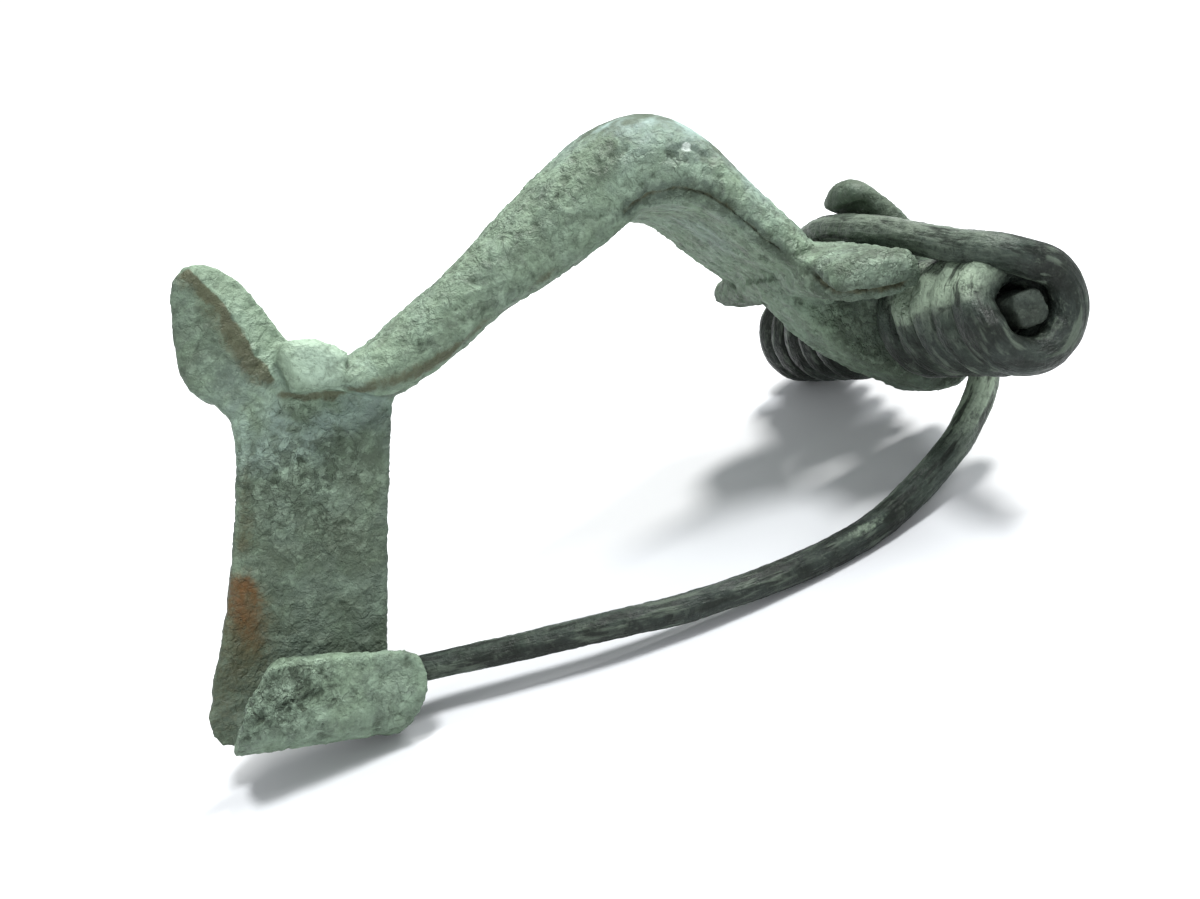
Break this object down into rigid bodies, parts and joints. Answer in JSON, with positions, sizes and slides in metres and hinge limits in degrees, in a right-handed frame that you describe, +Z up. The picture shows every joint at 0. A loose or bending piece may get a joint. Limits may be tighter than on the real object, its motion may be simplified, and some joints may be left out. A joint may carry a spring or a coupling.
{
  "type": "bow brooch",
  "caption": "Corroded Roman bow brooch: a curved bow with a crest, an ear-shaped foot and a folded catch-plate, and a two-sided spring, external chord and pin.",
  "frame": {"origin": "under the middle of the brooch's bounding box, on the surface it rests on", "axes": "+X from the foot with the catch-plate to the head with the spring, +Z up; the pin's side faces -Y"},
  "size_m": [0.0436, 0.0258, 0.0225],
  "materials": {
    "pale_green_patina": "matte corroded green patina on cast copper alloy",
    "dark_green_patina": "dark green patina on copper alloy wire, with worn lighter streaks",
    "brown_patina": "dull dark patina on a copper alloy rod"
  },
  "bodies": {
    "root": {"bow": "pale_green_patina", "spring_and_pin": "dark_green_patina", "axis_rod": "brown_patina"}
  },
  "joints": []
}
